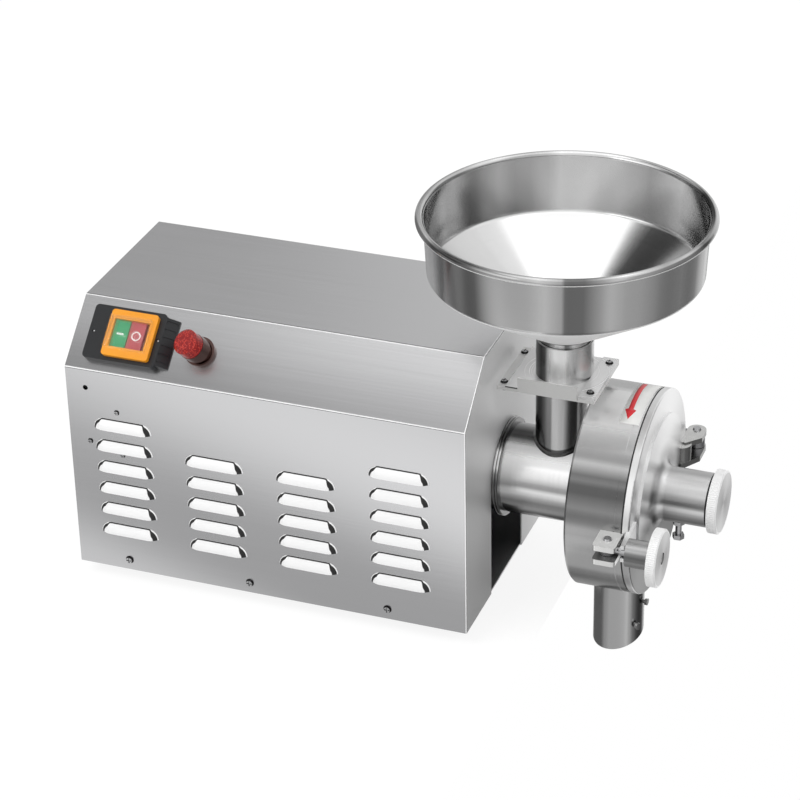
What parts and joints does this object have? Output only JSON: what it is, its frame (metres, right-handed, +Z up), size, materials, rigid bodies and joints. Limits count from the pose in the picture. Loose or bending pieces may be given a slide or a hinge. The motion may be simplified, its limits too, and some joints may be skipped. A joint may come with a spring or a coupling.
{
  "type": "flour mill",
  "caption": "Bench flour mill: louvred motor casing, round hopper over a slide gate, auger barrel, drum with grinding discs, hinged clamped cover with adjusting knob, and flour spout.",
  "frame": {"origin": "centre of the bounding box in plan, at the height of the lowest point of the flour spout; the mill axis lies in the plane Y = 0.00075", "axes": "+X along the mill shaft from the motor casing to the adjusting knob, -Y the louvred front with the switch, +Z up"},
  "size_m": [0.612, 0.2744, 0.4461],
  "materials": {
    "casing_sheet": "fine-brushed stainless sheet",
    "polished_sheet": "spun and polished stainless sheet",
    "turned_steel": "turned and buffed stainless",
    "satin_steel": "satin stainless",
    "knob_steel": "turned face, knurled rim",
    "dark_steel": "plain machined or zinc-plated steel",
    "bright_fastener": "bright machined steel",
    "cast_iron": "as cast with ground rib tops",
    "motor_paint": "grey-blue machine enamel",
    "copper_wire": "enamelled copper",
    "black_rubber": "matt moulded rubber",
    "black_plastic": "moulded plastic",
    "orange_plastic": "glossy moulded plastic",
    "green_plastic": "glossy moulded plastic",
    "red_plastic": "glossy moulded plastic",
    "clear_plastic": "clear soft moulded cover",
    "lamp_red": "red moulded lens"
  },
  "bodies": {
    "machine": {"casing_wrap": "casing_sheet", "front_panel": "casing_sheet", "end_panels": "casing_sheet", "base_tray": "dark_steel", "pan_screws": "bright_fastener", "rubber_feet": "black_rubber", "base_bolts": "dark_steel", "motor_frame": "motor_paint", "motor_feet": "motor_paint", "stator_core": "cast_iron", "windings": "copper_wire", "drive_end_shield": "motor_paint", "fan_end_shield": "motor_paint", "bearings": "bright_fastener", "fan_cowl": "motor_paint", "start_capacitor": "black_plastic", "cable_gland": "black_plastic", "barrel": "turned_steel", "barrel_plates": "dark_steel", "inlet_tube": "turned_steel", "barrel_ring": "turned_steel", "shaft_seal": "black_rubber", "drum": "turned_steel", "drum_back": "turned_steel", "spout": "turned_steel", "hinge_lug": "dark_steel", "cross_pins": "bright_fastener", "clamp_bracket": "satin_steel", "gate_base": "satin_steel", "gate_rails": "satin_steel", "hopper_collar": "turned_steel", "switch_base": "black_plastic", "switch_frame": "orange_plastic", "switch_cover": "clear_plastic", "lamp_bezel": "dark_steel", "lamp_lens": "lamp_red"},
    "rotor": {"rotor_core": "cast_iron", "main_shaft": "bright_fastener", "cooling_fan": "black_plastic", "auger": "bright_fastener", "auger_flights": "bright_fastener", "moving_disc": "cast_iron", "disc_nut": "bright_fastener"},
    "door": {"cover": "satin_steel", "cover_gasket": "black_rubber", "hinge_bracket": "satin_steel", "boss_cap": "dark_steel", "boss_seal": "black_plastic", "lock_bolt": "dark_steel"},
    "disc carriage": {"disc_carrier": "dark_steel", "fixed_disc": "cast_iron", "disc_screws": "dark_steel"},
    "adjuster": {"adjust_knob": "knob_steel", "adjust_screw": "bright_fastener"},
    "clamp bolt": {"swing_bolt": "dark_steel"},
    "clamp nut": {"clamp_knob": "knob_steel"},
    "feed gate": {"gate_slide": "satin_steel"},
    "hopper pan": {"hopper": "polished_sheet"},
    "start button": {"green_button": "green_plastic"},
    "stop button": {"red_button": "red_plastic"}
  },
  "joints": [
    {"name": "shaft_spin", "type": "hinge", "parent": "machine", "child": "rotor", "pos_m": [0, 0.00075, 0.1714], "axis": [1, 0, 0], "continuous": true},
    {"name": "cover_swing", "type": "hinge", "parent": "machine", "child": "door", "pos_m": [0.2519, 0.10525, 0.1714], "axis": [0, 0, 1], "range_deg": [0, 105]},
    {"name": "adjust_turn", "type": "hinge", "parent": "door", "child": "adjuster", "pos_m": [0.2965, 0.00075, 0.1714], "axis": [1, 0, 0], "range_deg": [-120, 720]},
    {"name": "disc_travel", "type": "slide", "parent": "door", "child": "disc carriage", "axis": [1, 0, 0], "range_m": [-0.0005, 0.003]},
    {"name": "clamp_swing", "type": "hinge", "parent": "door", "child": "clamp bolt", "pos_m": [0.2269, -0.11025, 0.1714], "axis": [0, 0, 1], "range_deg": [-100, 0]},
    {"name": "clamp_knob_turn", "type": "hinge", "parent": "clamp bolt", "child": "clamp nut", "pos_m": [0.2694, -0.11025, 0.1714], "axis": [1, 0, 0], "continuous": true},
    {"name": "gate_pull", "type": "slide", "parent": "machine", "child": "feed gate", "axis": [0, -1, 0], "range_m": [0, 0.05]},
    {"name": "hopper_lift", "type": "slide", "parent": "machine", "child": "hopper pan", "axis": [0, 0, 1], "range_m": [0, 0.06]},
    {"name": "start_press", "type": "slide", "parent": "machine", "child": "start button", "axis": [0, 0.6727, -0.7399], "range_m": [0, 0.002], "stiffness_N_per_m": 400},
    {"name": "stop_press", "type": "slide", "parent": "machine", "child": "stop button", "axis": [0, 0.6727, -0.7399], "range_m": [0, 0.002], "stiffness_N_per_m": 400}
  ],
  "couplings": [
    {"joint": "adjust_turn", "follows": "disc_travel", "rad_per_m": 4188.8}
  ]
}
